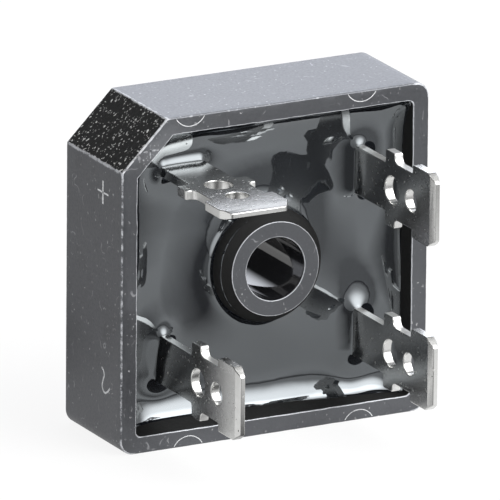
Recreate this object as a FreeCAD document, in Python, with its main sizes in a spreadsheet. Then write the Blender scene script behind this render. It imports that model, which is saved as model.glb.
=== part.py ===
import FreeCAD, Part
import math
import os
import Sketcher

# Potted bridge rectifier with four quick-connect tabs, standing on one side wall.
# Millimetres. Z is up, X is to the right, the terminals point towards -Y.
# The mounting face lies on y = 0 and the fixing hole runs along the Y axis.
# Every "height" below is a distance in front of the mounting face, towards -Y.

os.makedirs("parts", exist_ok=True)
doc = FreeCAD.newDocument("rectifier")

SIZES = (
    # moulded case
    ("case_width", "28.6", "outer width and height of the case"),
    ("case_depth", "10.1", "mounting face to rim"),
    ("chamfer_leg", "4.0", "leg of the polarity chamfer"),
    ("corner_radius", "1.2", "radius of the three square outer corners"),
    ("wall", "1.45", "side wall thickness at the rim"),
    ("cavity_radius", "0.5", "radius of the inner corners"),
    ("floor_thickness", "0.7", "moulded floor between plate and circuit"),
    ("bore_radius", "2.77", "fixing hole"),
    ("boss_top_radius", "4.14", "rim face of the boss"),
    ("boss_radius", "4.9", "foot of the boss"),
    ("boss_cone_depth", "1.15", "length of the conical end of the boss"),
    ("boss_proud", "0.1", "boss end face ahead of the rim"),
    ("sleeve_radius", "3.9", "moulded sleeve through the base plate"),
    ("pin_radius", "1.5", "ejector pin witness rings on the rim"),
    ("pin_side", "8.0", "ring centres from the middle line"),
    ("pin_beyond", "0.6", "ring centres outside the case edge"),
    ("pin_line", "0.1", "width of the ring line"),
    ("mark_depth", "0.05", "depth of the marks on the rim"),
    ("plus_mark_size", "1.2", "polarity mark at the chamfer"),
    ("plus_mark_line", "0.25", "width of its bars"),
    ("plus_mark_side", "2.6", "polarity mark from the left edge"),
    ("plus_mark_top", "2.5", "polarity mark from the upper edge"),
    # metal base plate
    ("plate_thickness", "1.6", "metal base plate"),
    ("plate_margin", "1.7", "moulded edge round the base plate"),
    ("plate_fit", "0.05", "gap between plate edge and moulding"),
    # circuit stack
    ("sheet_thickness", "0.15", "insulating bond sheet"),
    ("sheet_gap", "0.3", "bond sheet to the walls and the boss"),
    ("lead_thickness", "0.5", "copper conductor plates"),
    ("lead_wall_gap", "0.95", "conductor plates to the wall"),
    ("lead_boss_gap", "1.1", "conductor plates to the boss"),
    ("lead_end", "2.8", "end of a plate beyond the middle line"),
    ("lead_split", "1.0", "gap between neighbouring plates"),
    ("solder_thickness", "0.1", "each solder layer"),
    ("die_size", "4.6", "diode die edge"),
    ("die_thickness", "0.3", "diode die"),
    ("clip_width", "3.0", "connecting clip"),
    ("clip_thickness", "0.4", "connecting clip"),
    ("clip_back", "1.8", "clip behind the die centre"),
    ("clip_reach", "5.0", "clip ahead of the die centre"),
    ("clip_leg", "1.05", "length of the leg that stands on the next plate"),
    # quick-connect tabs, lengths measured back from the tip
    ("tab_projection", "11.5", "tab tips ahead of the rim"),
    ("tab_thickness", "0.8", "tab strip"),
    ("tab_width", "6.35", "tab head"),
    ("blade_width", "4.16", "strip below the ears"),
    ("neck_width", "4.85", "between the edge notches"),
    ("ear_width", "6.5", "across the ears"),
    ("head_length", "3.68", "tip to the notches"),
    ("ear_front", "6.73", "tip to the front of the ears"),
    ("ear_back", "8.38", "tip to the back of the ears"),
    ("notch_radius", "0.5", "inner corner between notch and ear"),
    ("small_hole_radius", "1.0", "detent hole"),
    ("small_hole_back", "3.92", "detent hole centre from the tip"),
    ("large_hole_radius", "1.25", "wire hole"),
    ("large_hole_back", "7.21", "wire hole centre from the tip"),
    ("tip_cut_length", "1.05", "corner cuts along the tab"),
    ("tip_cut_width", "0.65", "corner cuts across the tab"),
    ("bevel_length", "0.65", "coined bevel at the tip"),
    ("bevel_depth", "0.2", "coined bevel on each face"),
    ("bend_inner", "0.4", "inner radius of the foot bend"),
    ("foot_length", "2.2", "foot ahead of the strip face"),
    ("tab_side_gap", "3.88", "upright tabs to the side walls"),
    ("tab_clip_gap", "0.27", "clip ends to the lower tab strips"),
    ("tab_upper_gap", "6.03", "upper right tab centre to the upper wall"),
    ("plus_side_gap", "5.25", "flat tab centre to the left wall"),
    ("plus_upper_gap", "3.75", "flat tab to the upper wall"),
    # potting compound, depths measured back from the rim
    ("level_depth", "2.8", "level surface"),
    ("wet_depth", "1.4", "highest line on the walls"),
    ("wet_mid_depth", "2.2", "break of the climbing edge"),
    ("wet_land", "0.15", "width of the edge at its highest line"),
    ("wet_mid", "0.6", "width of the edge at the break"),
    ("wet_width", "1.7", "width of the edge on the level"),
    ("collar_mid", "0.45", "boss collar width at the break"),
    ("collar_width", "1.4", "boss collar width on the level"),
    ("mound_rise", "0.45", "compound drawn up at each tab"),
    ("mound_foot", "3.2", "radius of a mound on the level"),
    ("mound_top", "2.3", "radius of a mound at its top"),
    ("mound_sink", "0.2", "mounds start this far inside the compound"),
    ("cut_clear", "0.6", "cutting shapes reach this far past the solid"),
    # derived
    ("case_half", "=case_width / 2", "half the case"),
    ("case_cut", "=case_half - chamfer_leg", "start of the chamfer"),
    ("inset_share", "=sqrt(2) - 1", "shift of the chamfer start per unit of inset"),
    ("cavity_half", "=case_half - wall", "half the cavity"),
    ("cavity_cut", "=case_cut - wall * inset_share", "inner chamfer"),
    ("floor_height", "=plate_thickness + floor_thickness", "inner floor"),
    ("cavity_depth", "=case_depth - floor_height", "cavity from the rim"),
    ("pocket_half", "=case_half - plate_margin", "half the plate pocket"),
    ("pocket_cut", "=case_cut - plate_margin * inset_share", "its chamfer"),
    ("plate_half", "=pocket_half - plate_fit", "half the base plate"),
    ("plate_cut", "=pocket_cut - plate_fit * inset_share", "its chamfer start"),
    ("plate_hole", "=sleeve_radius + plate_fit", "hole round the sleeve"),
    ("boss_height", "=case_depth + boss_proud", "end face of the boss"),
    ("cone_height", "=case_depth - boss_cone_depth", "foot of the boss cone"),
    ("cone_clear", "=boss_radius + cut_clear", "outer edge of the cone cut"),
    ("pin_height", "=case_half + pin_beyond", "ring centres from the middle"),
    ("pin_inner", "=pin_radius - pin_line", "inner edge of the ring line"),
    ("mark_left", "=case_half - plus_mark_side + plus_mark_size / 2", "left end"),
    ("mark_right", "=mark_left - plus_mark_size", "right end"),
    ("mark_low", "=case_half - plus_mark_top - plus_mark_size / 2", "lower end"),
    ("mark_high", "=mark_low + plus_mark_size", "upper end"),
    ("bar_left", "=case_half - plus_mark_side + plus_mark_line / 2", "upright bar"),
    ("bar_right", "=bar_left - plus_mark_line", "upright bar"),
    ("bar_low", "=case_half - plus_mark_top - plus_mark_line / 2", "level bar"),
    ("bar_high", "=bar_low + plus_mark_line", "level bar"),
    ("sheet_half", "=cavity_half - sheet_gap", "half the bond sheet"),
    ("sheet_cut", "=cavity_cut - sheet_gap * inset_share", "its chamfer start"),
    ("sheet_hole", "=boss_radius + sheet_gap", "its hole"),
    ("lead_height", "=floor_height + sheet_thickness", "back of the plates"),
    ("lead_outer", "=cavity_half - lead_wall_gap", "outer edge of the plates"),
    ("lead_start", "=lead_end + lead_split", "start of the next plate"),
    ("lead_corner", "=cavity_cut", "corner cut of the positive plate"),
    ("lead_inner", "=boss_radius + lead_boss_gap", "inner edge of the plates"),
    ("die_offset", "=(lead_inner + lead_outer) / 2", "die centres from the axis"),
    ("tab_x", "=cavity_half - tab_side_gap", "upright tabs from the axis"),
    ("tab_lower_z", "=clip_reach + tab_clip_gap + blade_half", "lower tabs below the axis"),
    ("tab_upper_z", "=cavity_half - tab_upper_gap", "upper right tab above the axis"),
    ("plus_x", "=cavity_half - plus_side_gap", "flat tab left of the axis"),
    ("plus_z", "=cavity_half - plus_upper_gap", "flat tab above the axis"),
    ("joint_height", "=lead_height + lead_thickness", "front of the plates"),
    ("die_height", "=joint_height + solder_thickness", "back of the dies"),
    ("die_front", "=die_height + die_thickness", "front of the dies"),
    ("clip_height", "=die_front + solder_thickness", "back of the clips"),
    ("clip_drop", "=die_thickness + solder_thickness", "length of the clip legs"),
    ("clip_half", "=clip_width / 2", "half the clip"),
    ("leg_start", "=clip_reach - clip_leg", "inner end of the clip leg"),
    ("tip_height", "=case_depth + tab_projection", "tab tips"),
    ("strip_half", "=tab_thickness / 2", "half the strip"),
    ("strip_top", "=die_height + tab_thickness", "front of the foot"),
    ("bend_outer", "=bend_inner + tab_thickness", "outer radius of the bend"),
    ("bend_height", "=die_height + bend_outer", "end of the bend"),
    ("bend_width", "=strip_half + bend_inner", "end of the bend across"),
    ("foot_end", "=strip_half + foot_length", "end of the foot"),
    ("foot_flat", "=foot_end - bend_width", "flat length of the foot"),
    ("blade_half", "=blade_width / 2", "half the strip width"),
    ("neck_half", "=neck_width / 2", "half the neck"),
    ("ear_half", "=ear_width / 2", "half across the ears"),
    ("head_half", "=tab_width / 2", "half the head"),
    ("head_height", "=tip_height - head_length", "back of the head"),
    ("ear_front_height", "=tip_height - ear_front", "front of the ears"),
    ("ear_back_height", "=tip_height - ear_back", "back of the ears"),
    ("small_hole_height", "=tip_height - small_hole_back", "detent hole"),
    ("large_hole_height", "=tip_height - large_hole_back", "wire hole"),
    ("cut_height", "=tip_height - tip_cut_length", "start of the corner cuts"),
    ("cut_half", "=head_half - tip_cut_width", "half the tip"),
    ("bevel_height", "=tip_height - bevel_length", "start of the bevel"),
    ("tip_half", "=strip_half - bevel_depth", "half the tip thickness"),
    ("bevel_clear", "=strip_half + cut_clear", "outer edge of the bevel cut"),
    ("tip_clear", "=tip_height + cut_clear", "end of the bevel cut"),
    ("level_height", "=case_depth - level_depth", "level compound"),
    ("wet_height", "=case_depth - wet_depth", "compound on the walls"),
    ("wet_mid_height", "=case_depth - wet_mid_depth", "its break"),
    ("fill_height", "=wet_height - floor_height", "compound thickness at the walls"),
    ("wet_top_half", "=cavity_half - wet_land", "hollow at its top"),
    ("wet_top_cut", "=cavity_cut - wet_land * inset_share", "its chamfer start"),
    ("wet_mid_half", "=cavity_half - wet_mid", "hollow at the break"),
    ("wet_mid_cut", "=cavity_cut - wet_mid * inset_share", "its chamfer start"),
    ("wet_low_half", "=cavity_half - wet_width", "hollow on the level"),
    ("wet_low_cut", "=cavity_cut - wet_width * inset_share", "its chamfer start"),
    ("collar_mid_radius", "=boss_radius + collar_mid", "collar at the break"),
    ("collar_low_radius", "=boss_radius + collar_width", "collar on the level"),
    ("mound_height", "=level_height - mound_sink", "foot of the mounds, in the compound"),
    ("mound_length", "=mound_rise + mound_sink", "length of the mounds"),
)

sheet = doc.addObject("Spreadsheet::Sheet", "Sizes")
for row, (alias, content, note) in enumerate(SIZES, start=1):
    sheet.set("A%d" % row, note)
    sheet.set("B%d" % row, content)
    sheet.setAlias("B%d" % row, alias)
doc.recompute()


def size(word):
    """Value of a signed size word."""
    if word.startswith("-"):
        return -float(sheet.get(word[1:]))
    return float(sheet.get(word))


def bound(word):
    """Expression of a signed size word."""
    if word.startswith("-"):
        return "-Sizes." + word[1:]
    return "Sizes." + word


def new_body(label):
    body = doc.addObject("PartDesign::Body", label)
    body.Label = label
    return body


def new_sketch(body, plane, height=None):
    """Sketch on an origin plane of the body, moved ahead by a height."""
    sketch = body.newObject("Sketcher::SketchObject", body.Label + "_sketch")
    role = plane + "_Plane"
    base = [f for f in body.Origin.OriginFeatures if f.Role == role][0]
    sketch.AttachmentSupport = [(base, "")]
    sketch.MapMode = "FlatFace"
    if height:
        sketch.setExpression("AttachmentOffset.Base.z", bound(height))
    return sketch


def tie(sketch, kind, geometry, point, word):
    """Distance from the sketch origin to a point, bound to a size."""
    index = sketch.addConstraint(
        Sketcher.Constraint(kind, -1, 1, geometry, point, size(word))
    )
    sketch.setExpression("Constraints[%d]" % index, bound(word))


def polygon(sketch, corners):
    """Closed outline whose corners are pairs of signed size words."""
    spots = [FreeCAD.Vector(size(a), size(b), 0) for a, b in corners]
    count = len(spots)
    first = sketch.GeometryCount
    for i in range(count):
        sketch.addGeometry(Part.LineSegment(spots[i], spots[(i + 1) % count]))
    for i in range(count):
        following = first + (i + 1) % count
        sketch.addConstraint(Sketcher.Constraint("Coincident", first + i, 2, following, 1))
    for i, (a, b) in enumerate(corners):
        tie(sketch, "DistanceX", first + i, 1, a)
        tie(sketch, "DistanceY", first + i, 1, b)


def circle(sketch, radius, height=None):
    """Circle on the sketch origin, or on its Y axis at a height."""
    middle = FreeCAD.Vector(0, size(height) if height else 0, 0)
    index = sketch.addGeometry(Part.Circle(middle, FreeCAD.Vector(0, 0, 1), size(radius)))
    if height:
        sketch.addConstraint(Sketcher.Constraint("PointOnObject", index, 3, -2))
        tie(sketch, "DistanceY", index, 3, height)
    else:
        sketch.addConstraint(Sketcher.Constraint("Coincident", index, 3, -1, 1))
    last = sketch.addConstraint(Sketcher.Constraint("Radius", index, size(radius)))
    sketch.setExpression("Constraints[%d]" % last, bound(radius))


def ring_centre(sketch, radius, across, along):
    """Circle whose centre is a pair of signed size words."""
    middle = FreeCAD.Vector(size(across), size(along), 0)
    index = sketch.addGeometry(Part.Circle(middle, FreeCAD.Vector(0, 0, 1), size(radius)))
    tie(sketch, "DistanceX", index, 3, across)
    tie(sketch, "DistanceY", index, 3, along)
    last = sketch.addConstraint(Sketcher.Constraint("Radius", index, size(radius)))
    sketch.setExpression("Constraints[%d]" % last, bound(radius))


def cut_square(sketch, half, cut):
    """Square with the upper left corner cut off."""
    polygon(
        sketch,
        (
            ("-" + half, "-" + half),
            (half, "-" + half),
            (half, half),
            ("-" + cut, half),
            ("-" + half, cut),
        ),
    )


def feature(body, kind, sketch, length=None, **options):
    """Sketch-based feature with its length bound to a size."""
    item = body.newObject("PartDesign::" + kind, body.Label + "_" + kind.lower())
    item.Profile = sketch
    if length:
        item.setExpression("Length", bound(length))
    for name, value in options.items():
        setattr(item, name, value)
    sketch.Visibility = False
    body.Tip = item
    doc.recompute()
    return item


def depth_edges(shape, reach):
    """Names of straight edges along Y whose two distances from the axis equal reach."""
    names = []
    for number, edge in enumerate(shape.Edges, start=1):
        start, end = edge.firstVertex().Point, edge.lastVertex().Point
        if abs(start.y - end.y) < 1.0:
            continue
        square = all(
            abs(abs(p.x) - reach) < 0.05 and abs(abs(p.z) - reach) < 0.05
            for p in (start, end)
        )
        if square:
            names.append("Edge%d" % number)
    return names


def round_edges(body, names, radius):
    solid = body.Tip
    item = body.newObject("PartDesign::Fillet", body.Label + "_fillet")
    item.Base = (solid, names)
    item.setExpression("Radius", bound(radius))
    body.Tip = item
    doc.recompute()
    return item


nodes = []

# ---------------------------------------------------------------- case shell
case = new_body("case_shell")
outline = new_sketch(case, "XZ")
cut_square(outline, "case_half", "case_cut")
shell = feature(case, "Pad", outline, "case_depth")
round_edges(case, depth_edges(shell.Shape, size("case_half")), "corner_radius")

cavity = new_sketch(case, "XZ", "case_depth")
cut_square(cavity, "cavity_half", "cavity_cut")
circle(cavity, "boss_radius")
hollow = feature(case, "Pocket", cavity, "cavity_depth")
inner_edges = depth_edges(hollow.Shape, size("cavity_half"))
round_edges(case, inner_edges, "cavity_radius")

boss_end = new_sketch(case, "XZ", "cone_height")
circle(boss_end, "boss_top_radius")
boss_rise = case.newObject("PartDesign::Pad", "boss_rise")
boss_rise.Profile = boss_end
boss_rise.setExpression("Length", "Sizes.boss_height - Sizes.cone_height")
case.Tip = boss_rise
doc.recompute()

cone = new_sketch(case, "XY")
polygon(
    cone,
    (
        ("boss_top_radius", "-boss_height"),
        ("cone_clear", "-boss_height"),
        ("cone_clear", "-cone_height"),
        ("boss_radius", "-cone_height"),
    ),
)
feature(case, "Groove", cone, ReferenceAxis=(cone, ["V_Axis"]), Angle=360)

seat = new_sketch(case, "XZ")
cut_square(seat, "pocket_half", "pocket_cut")
circle(seat, "sleeve_radius")
feature(case, "Pocket", seat, "plate_thickness", Reversed=True)

rings = new_sketch(case, "XZ", "case_depth")
for across in ("pin_side", "-pin_side"):
    for along in ("pin_height", "-pin_height"):
        ring_centre(rings, "pin_radius", across, along)
        ring_centre(rings, "pin_inner", across, along)
feature(case, "Pocket", rings, "mark_depth")

polarity = new_sketch(case, "XZ", "case_depth")
polygon(
    polarity,
    (
        ("-mark_left", "bar_low"),
        ("-bar_left", "bar_low"),
        ("-bar_left", "mark_low"),
        ("-bar_right", "mark_low"),
        ("-bar_right", "bar_low"),
        ("-mark_right", "bar_low"),
        ("-mark_right", "bar_high"),
        ("-bar_right", "bar_high"),
        ("-bar_right", "mark_high"),
        ("-bar_left", "mark_high"),
        ("-bar_left", "bar_high"),
        ("-mark_left", "bar_high"),
    ),
)
feature(case, "Pocket", polarity, "mark_depth")

bore = new_sketch(case, "XZ", "boss_height")
circle(bore, "bore_radius")
feature(case, "Pocket", bore, Type="ThroughAll")
nodes.append(case)


# ---------------------------------------------------------------- flat parts
def plate(label, height, thickness, corners=None, square=None, hole=None):
    """Flat part parallel to the mounting face."""
    body = new_body(label)
    sketch = new_sketch(body, "XZ", height)
    if square:
        cut_square(sketch, *square)
    else:
        polygon(sketch, corners)
    if hole:
        circle(sketch, hole)
    feature(body, "Pad", sketch, thickness)
    nodes.append(body)
    return body


plate("base_plate", None, "plate_thickness", square=("plate_half", "plate_cut"), hole="plate_hole")
plate(
    "bond_sheet",
    "floor_height",
    "sheet_thickness",
    square=("sheet_half", "sheet_cut"),
    hole="sheet_hole",
)

# The four conductor plates lie in a ring round the boss.
plate(
    "plus_plate",
    "lead_height",
    "lead_thickness",
    corners=(
        ("-lead_outer", "-lead_end"),
        ("-lead_inner", "-lead_end"),
        ("-lead_inner", "lead_inner"),
        ("lead_end", "lead_inner"),
        ("lead_end", "lead_outer"),
        ("-lead_corner", "lead_outer"),
        ("-lead_outer", "lead_corner"),
    ),
)
plate(
    "ac_upper_plate",
    "lead_height",
    "lead_thickness",
    corners=(
        ("lead_start", "lead_inner"),
        ("lead_inner", "lead_inner"),
        ("lead_inner", "-lead_end"),
        ("lead_outer", "-lead_end"),
        ("lead_outer", "lead_outer"),
        ("lead_start", "lead_outer"),
    ),
)
plate(
    "ac_lower_plate",
    "lead_height",
    "lead_thickness",
    corners=(
        ("-lead_outer", "-lead_outer"),
        ("lead_end", "-lead_outer"),
        ("lead_end", "-lead_inner"),
        ("-lead_inner", "-lead_inner"),
        ("-lead_inner", "-lead_start"),
        ("-lead_outer", "-lead_start"),
    ),
)
plate(
    "minus_plate",
    "lead_height",
    "lead_thickness",
    corners=(
        ("lead_start", "-lead_outer"),
        ("lead_outer", "-lead_outer"),
        ("lead_outer", "-lead_start"),
        ("lead_inner", "-lead_start"),
        ("lead_inner", "-lead_inner"),
        ("lead_start", "-lead_inner"),
    ),
)


def block(label, middle, extent, height, thickness):
    """Flat block centred on a point in front of the mounting face."""
    box = doc.addObject("Part::Box", label)
    box.Label = label
    box.setExpression("Length", extent[0])
    box.setExpression("Height", extent[1])
    box.setExpression("Width", thickness)
    box.setExpression("Placement.Base.x", "%s - (%s) / 2" % (middle[0], extent[0]))
    box.setExpression("Placement.Base.z", "%s - (%s) / 2" % (middle[1], extent[1]))
    box.setExpression("Placement.Base.y", "-(%s) - (%s)" % (height, thickness))
    nodes.append(box)


# Each die stands between two plates: position, and the way its clip leads.
QUARTERS = (
    ("upper", "0", "Sizes.die_offset", "x"),
    ("right", "Sizes.die_offset", "0", "z"),
    ("lower", "0", "-Sizes.die_offset", "x"),
    ("left", "-Sizes.die_offset", "0", "z"),
)
LEG_MIDDLE = "(Sizes.clip_reach - Sizes.clip_leg / 2)"

for name, x, z, lead in QUARTERS:
    edge = ("Sizes.die_size", "Sizes.die_size")
    block("die_joint_" + name, (x, z), edge, "Sizes.joint_height", "Sizes.solder_thickness")
    block("diode_die_" + name, (x, z), edge, "Sizes.die_height", "Sizes.die_thickness")
    pad = ("Sizes.clip_width", "Sizes.clip_width")
    block("clip_joint_" + name, (x, z), pad, "Sizes.die_front", "Sizes.solder_thickness")
    if lead == "x":
        spot = ("%s + %s" % (x, LEG_MIDDLE), z)
        foot = ("Sizes.clip_leg", "Sizes.clip_width")
    else:
        spot = (x, "%s - %s" % (z, LEG_MIDDLE))
        foot = ("Sizes.clip_width", "Sizes.clip_leg")
    block("leg_joint_" + name, spot, foot, "Sizes.joint_height", "Sizes.solder_thickness")

    clip = new_body("clip_" + name)
    strip = new_sketch(clip, "XZ", "clip_height")
    polygon(
        strip,
        (
            ("-clip_back", "-clip_half"),
            ("clip_reach", "-clip_half"),
            ("clip_reach", "clip_half"),
            ("-clip_back", "clip_half"),
        ),
    )
    feature(clip, "Pad", strip, "clip_thickness")
    leg = new_sketch(clip, "XZ", "die_height")
    polygon(
        leg,
        (
            ("leg_start", "-clip_half"),
            ("clip_reach", "-clip_half"),
            ("clip_reach", "clip_half"),
            ("leg_start", "clip_half"),
        ),
    )
    feature(clip, "Pad", leg, "clip_drop")
    if lead == "z":
        turn = FreeCAD.Rotation(FreeCAD.Vector(0, 1, 0), 90)
        clip.Placement = FreeCAD.Placement(FreeCAD.Vector(), turn)
    clip.setExpression("Placement.Base.x", x)
    clip.setExpression("Placement.Base.z", z)
    nodes.append(clip)


# ---------------------------------------------------------------- terminals
def terminal(label, x, z, side, up):
    """Bent strip with a quick-connect head; side is the body's X, up its Z."""
    body = new_body(label)
    foot = new_sketch(body, "YZ")
    spots = [
        FreeCAD.Vector(size("die_height"), size("foot_end"), 0),
        FreeCAD.Vector(size("die_height"), size("bend_width"), 0),
        FreeCAD.Vector(size("bend_height"), -size("strip_half"), 0),
        FreeCAD.Vector(size("head_height"), -size("strip_half"), 0),
        FreeCAD.Vector(size("head_height"), size("strip_half"), 0),
        FreeCAD.Vector(size("bend_height"), size("strip_half"), 0),
        FreeCAD.Vector(size("strip_top"), size("bend_width"), 0),
        FreeCAD.Vector(size("strip_top"), size("foot_end"), 0),
    ]
    pivot = FreeCAD.Vector(size("bend_height"), size("bend_width"), 0)
    outer = Part.Circle(pivot, FreeCAD.Vector(0, 0, 1), size("bend_outer"))
    inner = Part.Circle(pivot, FreeCAD.Vector(0, 0, 1), size("bend_inner"))
    foot.addGeometry(Part.LineSegment(spots[0], spots[1]))
    foot.addGeometry(Part.ArcOfCircle(outer, math.pi, 1.5 * math.pi))
    foot.addGeometry(Part.LineSegment(spots[2], spots[3]))
    foot.addGeometry(Part.LineSegment(spots[3], spots[4]))
    foot.addGeometry(Part.LineSegment(spots[4], spots[5]))
    foot.addGeometry(Part.ArcOfCircle(inner, math.pi, 1.5 * math.pi))
    foot.addGeometry(Part.LineSegment(spots[6], spots[7]))
    foot.addGeometry(Part.LineSegment(spots[7], spots[0]))
    joins = ((0, 2, 1, 1), (1, 2, 2, 1), (2, 2, 3, 1), (3, 2, 4, 1))
    joins += ((4, 2, 5, 2), (5, 1, 6, 1), (6, 2, 7, 1), (7, 2, 0, 1))
    for a, b, c, d in joins:
        foot.addConstraint(Sketcher.Constraint("Coincident", a, b, c, d))
    for geometry, point, along, across in (
        (0, 1, "die_height", "foot_end"),
        (0, 2, "die_height", "bend_width"),
        (2, 1, "bend_height", "-strip_half"),
        (2, 2, "head_height", "-strip_half"),
        (4, 1, "head_height", "strip_half"),
        (4, 2, "bend_height", "strip_half"),
        (6, 1, "strip_top", "bend_width"),
        (6, 2, "strip_top", "foot_end"),
    ):
        tie(foot, "DistanceX", geometry, point, along)
        tie(foot, "DistanceY", geometry, point, across)
    tie(foot, "DistanceX", 1, 3, "bend_height")
    tie(foot, "DistanceX", 5, 3, "bend_height")
    feature(body, "Pad", foot, "blade_width", Midplane=True)

    face = new_sketch(body, "XY")
    right = (
        ("blade_half", "bend_height"),
        ("blade_half", "ear_back_height"),
        ("ear_half", "ear_back_height"),
        ("ear_half", "ear_front_height"),
        ("neck_half", "ear_front_height"),
        ("neck_half", "head_height"),
        ("head_half", "head_height"),
        ("head_half", "cut_height"),
        ("cut_half", "tip_height"),
    )
    left = tuple(("-" + a, b) for a, b in reversed(right))
    polygon(face, right + left)
    feature(body, "Pad", face, "tab_thickness", Midplane=True)

    corners = []
    for number, edge in enumerate(body.Tip.Shape.Edges, start=1):
        ends = [v.Point for v in edge.Vertexes]
        if all(
            abs(abs(p.x) - size("neck_half")) < 0.01
            and abs(p.y - size("ear_front_height")) < 0.01
            for p in ends
        ):
            corners.append("Edge%d" % number)
    round_edges(body, corners, "notch_radius")

    holes = new_sketch(body, "XY")
    circle(holes, "small_hole_radius", "small_hole_height")
    circle(holes, "large_hole_radius", "large_hole_height")
    feature(body, "Pocket", holes, Type="ThroughAll", Midplane=True)

    for sign, other in (("", "-"), ("-", "")):
        bevel = new_sketch(body, "YZ")
        polygon(
            bevel,
            (
                ("bevel_height", sign + "strip_half"),
                ("tip_height", sign + "tip_half"),
                ("tip_clear", sign + "tip_half"),
                ("tip_clear", sign + "bevel_clear"),
                ("bevel_height", sign + "bevel_clear"),
            ),
        )
        feature(body, "Pocket", bevel, Type="ThroughAll", Midplane=True)

    ahead = FreeCAD.Vector(0, -1, 0)
    turn = FreeCAD.Rotation(side, ahead, up, "XYZ")
    body.Placement = FreeCAD.Placement(FreeCAD.Vector(), turn)
    body.setExpression("Placement.Base.x", x)
    body.setExpression("Placement.Base.z", z)
    nodes.append(body)

    reach = "(Sizes.bend_width + Sizes.foot_flat / 2)"
    middle = (x, z)
    if abs(up.x) > 0.5:
        middle = ("%s %s %s" % (x, "+" if up.x > 0 else "-", reach), z)
        extent = ("Sizes.foot_flat", "Sizes.blade_width")
    else:
        middle = (x, "%s + %s" % (z, reach))
        extent = ("Sizes.blade_width", "Sizes.foot_flat")
    name = label.replace("terminal", "joint")
    block(name, middle, extent, "Sizes.joint_height", "Sizes.solder_thickness")


X_AXIS = FreeCAD.Vector(1, 0, 0)
Z_AXIS = FreeCAD.Vector(0, 0, 1)
terminal("terminal_plus", "-Sizes.plus_x", "Sizes.plus_z", -X_AXIS, Z_AXIS)
terminal("terminal_ac_upper", "Sizes.tab_x", "Sizes.tab_upper_z", Z_AXIS, X_AXIS)
terminal("terminal_ac_lower", "-Sizes.tab_x", "-Sizes.tab_lower_z", -Z_AXIS, -X_AXIS)
terminal("terminal_minus", "Sizes.tab_x", "-Sizes.tab_lower_z", Z_AXIS, X_AXIS)

# ---------------------------------------------------------------- potting compound
fill = new_body("potting_fill")
bed = new_sketch(fill, "XZ", "floor_height")
cut_square(bed, "cavity_half", "cavity_cut")
circle(bed, "boss_radius")
poured = feature(fill, "Pad", bed, "fill_height")
round_edges(fill, depth_edges(poured.Shape, size("cavity_half")), "cavity_radius")

hollow_top = new_sketch(fill, "XZ", "wet_height")
cut_square(hollow_top, "wet_top_half", "wet_top_cut")
hollow_mid = new_sketch(fill, "XZ", "wet_mid_height")
cut_square(hollow_mid, "wet_mid_half", "wet_mid_cut")
hollow_low = new_sketch(fill, "XZ", "level_height")
cut_square(hollow_low, "wet_low_half", "wet_low_cut")
sections = [hollow_mid, hollow_low]
feature(fill, "SubtractiveLoft", hollow_top, Sections=sections, Ruled=True)

collar = new_sketch(fill, "XY")
polygon(
    collar,
    (
        ("boss_radius", "-floor_height"),
        ("collar_low_radius", "-floor_height"),
        ("collar_low_radius", "-level_height"),
        ("collar_mid_radius", "-wet_mid_height"),
        ("boss_radius", "-cone_height"),
    ),
)
feature(fill, "Revolution", collar, ReferenceAxis=(collar, ["V_Axis"]), Angle=360)

mounds = []
for name, x, z in (
    ("plus", "-Sizes.plus_x", "Sizes.plus_z"),
    ("ac_upper", "Sizes.tab_x", "Sizes.tab_upper_z"),
    ("ac_lower", "-Sizes.tab_x", "-Sizes.tab_lower_z"),
    ("minus", "Sizes.tab_x", "-Sizes.tab_lower_z"),
):
    mound = doc.addObject("Part::Cone", "mound_" + name)
    mound.setExpression("Radius1", "Sizes.mound_foot")
    mound.setExpression("Radius2", "Sizes.mound_top")
    mound.setExpression("Height", "Sizes.mound_length")
    forward = FreeCAD.Rotation(FreeCAD.Vector(1, 0, 0), 90)
    mound.Placement = FreeCAD.Placement(FreeCAD.Vector(), forward)
    mound.setExpression("Placement.Base.x", x)
    mound.setExpression("Placement.Base.y", "-Sizes.mound_height")
    mound.setExpression("Placement.Base.z", z)
    mounds.append(mound)

poured_all = doc.addObject("Part::MultiFuse", "poured_all")
poured_all.Shapes = [fill] + mounds
buried = doc.addObject("Part::MultiFuse", "buried")
buried.Shapes = [n for n in nodes if n.Label not in ("case_shell", "base_plate")]
potting = doc.addObject("Part::Cut", "potting_compound")
potting.Base = poured_all
potting.Tool = buried
potting.Label = "potting_compound"
nodes.append(potting)
doc.recompute()

# ---------------------------------------------------------------- checks and files
for item in doc.Objects:
    if "Invalid" in item.State or "Error" in item.State:
        raise RuntimeError("%s: %s" % (item.Label, item.State))
for node in nodes:
    if node.Shape.isNull() or not node.Shape.isValid():
        raise RuntimeError("shape of " + node.Label)
    if len(node.Shape.Solids) != 1:
        raise RuntimeError("%s has %d solids" % (node.Label, len(node.Shape.Solids)))
    node.Shape.exportStep("parts/%s.step" % node.Label)
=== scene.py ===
import bpy
import bmesh
import math
from mathutils import Matrix, Vector, noise


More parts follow.
